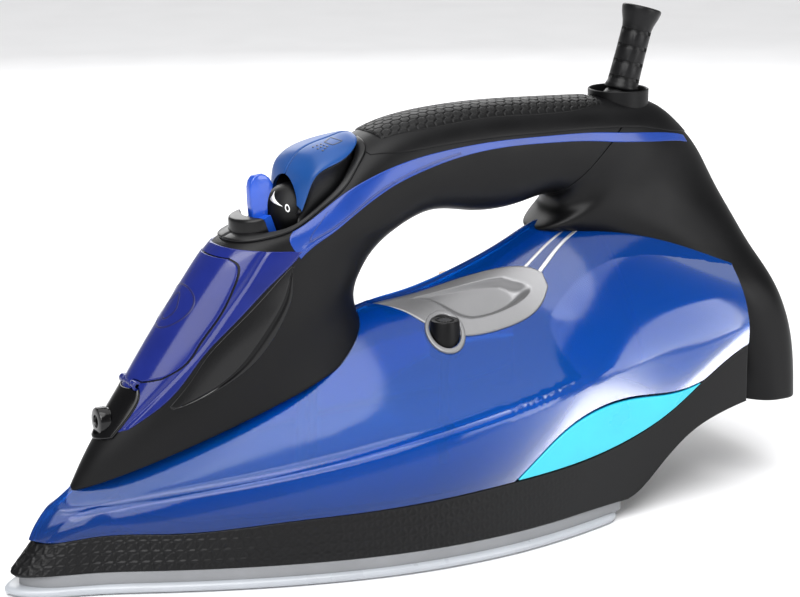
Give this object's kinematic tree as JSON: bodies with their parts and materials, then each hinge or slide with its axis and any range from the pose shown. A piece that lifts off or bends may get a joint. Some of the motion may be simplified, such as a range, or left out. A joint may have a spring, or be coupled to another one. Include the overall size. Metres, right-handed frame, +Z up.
{
  "type": "clothes iron",
  "caption": "Steam clothes iron with pointed soleplate, translucent water tank, looped handle with pump buttons, steam lever, filler door and a swivelling cord sleeve.",
  "frame": {"origin": "centre of the bounding box on the plane of the ironing face", "axes": "+Z up, -X towards the pointed nose, +X towards the heel, mirror plane at Y = 0 but for the small controls"},
  "size_m": [0.3121, 0.1126, 0.1831],
  "materials": {
    "sole_coating": "satin ceramic coating",
    "cast_aluminium": "as cast",
    "element_steel": "oxidised sheath",
    "steel_sheet": "pressed sheet",
    "grey_heat_plastic": "heat resistant moulding",
    "insulation": "pressed board",
    "screw_steel": "zinc plated",
    "ceramic_white": "glazed tube",
    "sensor_steel": "turned can",
    "black_skirt": "relief patterned moulding",
    "blue_tank": "glossy translucent",
    "tank_base": "moulded",
    "silicone": "soft silicone",
    "silver_trim": "satin silver",
    "pilot_amber": "clear lens",
    "black_plastic": "satin fine grain",
    "blue_button": "satin",
    "spring_steel": "spring wire",
    "cyan_leaf": "bright satin",
    "blue_stripe": "satin translucent",
    "dark_gloss": "polished",
    "grip_black": "soft touch, hexagon grain",
    "indigo_cover": "glossy translucent",
    "nozzle_black": "polished",
    "lever_blue": "translucent",
    "rod_steel": "drawn rod",
    "pump_white": "moulded",
    "hose_silicone": "silicone tube",
    "terminal_cream": "moulded block",
    "board_green": "lacquered board",
    "relief_rubber": "flexible sleeve"
  },
  "bodies": {
    "body": {"base_tray": "black_skirt", "console_trim_left": "silver_trim", "console_trim_right": "silver_trim", "control_bezel": "dark_gloss", "control_board": "board_green", "door_pin": "screw_steel", "filler_funnel": "tank_base", "front_cover": "indigo_cover", "grip_pad": "grip_black", "handle_shell": "black_plastic", "handle_top": "grip_black", "heat_cover": "grey_heat_plastic", "heater_casting": "cast_aluminium", "heating_element": "element_steel", "heel_plate": "black_skirt", "heel_screws": "screw_steel", "insulating_plate": "insulation", "lever_bearing": "black_plastic", "light_leaf_left": "cyan_leaf", "light_leaf_right": "cyan_leaf", "lower_skirt": "black_skirt", "nozzle_surround": "nozzle_black", "pilot_lens": "pilot_amber", "pivot_cap": "black_plastic", "rear_cover": "black_plastic", "rod_seal": "silicone", "self_clean_collar": "black_plastic", "self_clean_spring": "spring_steel", "side_insert_left": "dark_gloss", "side_insert_right": "dark_gloss", "side_stripe_left": "blue_stripe", "side_stripe_right": "blue_stripe", "sole_screws": "screw_steel", "soleplate": "sole_coating", "spray_hose": "hose_silicone", "spray_nozzle": "nozzle_black", "spray_pump": "pump_white", "spray_spring": "spring_steel", "steam_chamber_cover": "steel_sheet", "steam_hose": "hose_silicone", "steam_pump": "pump_white", "steam_scale": "black_plastic", "steam_spring": "spring_steel", "swivel_cup": "black_plastic", "tank_floor": "tank_base", "tank_shell": "blue_tank", "temperature_sensor": "sensor_steel", "terminal_block": "terminal_cream", "thermal_fuse": "ceramic_white", "trim_strips": "silver_trim", "valve_seat": "silicone"},
    "door": {"filler_door": "indigo_cover"},
    "lever": {"steam_lever": "lever_blue"},
    "rod": {"steam_rod": "rod_steel"},
    "spray_press": {"spray_button": "blue_button"},
    "steam_press": {"steam_button": "blue_button"},
    "clean_press": {"self_clean_button": "black_plastic"},
    "swivel": {"swivel_collar": "black_plastic"},
    "bend_sleeve": {"strain_relief": "relief_rubber"}
  },
  "joints": [
    {"name": "door_hinge", "type": "hinge", "parent": "body", "child": "door", "pos_m": [-0.1086, 0, 0.0673], "axis": [0, -1, 0], "range_deg": [0, 75]},
    {"name": "lever_turn", "type": "hinge", "parent": "body", "child": "lever", "pos_m": [-0.0465, 0, 0.1195], "axis": [-0.342, 0, 0.9397], "range_deg": [-33, 33]},
    {"name": "rod_turn", "type": "hinge", "parent": "body", "child": "rod", "pos_m": [-0.044, 0, 0.08], "axis": [0, 0, 1], "range_deg": [-33, 33]},
    {"name": "spray_travel", "type": "slide", "parent": "body", "child": "spray_press", "axis": [0, 0, -1], "range_m": [0, 0.003], "stiffness_N_per_m": 600, "springref_m": -0.002, "deforming": ["spray_spring"]},
    {"name": "steam_travel", "type": "slide", "parent": "body", "child": "steam_press", "axis": [0, 0, -1], "range_m": [0, 0.003], "stiffness_N_per_m": 600, "springref_m": -0.002, "deforming": ["steam_spring"]},
    {"name": "clean_travel", "type": "slide", "parent": "body", "child": "clean_press", "axis": [0, 0, -1], "range_m": [0, 0.0025], "stiffness_N_per_m": 500, "springref_m": -0.002, "deforming": ["self_clean_spring"]},
    {"name": "cord_swivel", "type": "hinge", "parent": "body", "child": "swivel", "pos_m": [0.091, 0, 0.146], "axis": [0, 0, 1], "range_deg": [-90, 90]},
    {"name": "cord_tilt", "type": "hinge", "parent": "swivel", "child": "bend_sleeve", "pos_m": [0.091, 0, 0.146], "axis": [0, 1, 0], "range_deg": [-46, 14]}
  ],
  "couplings": [
    {"joint": "rod_turn", "follows": "lever_turn", "ratio": 1}
  ]
}
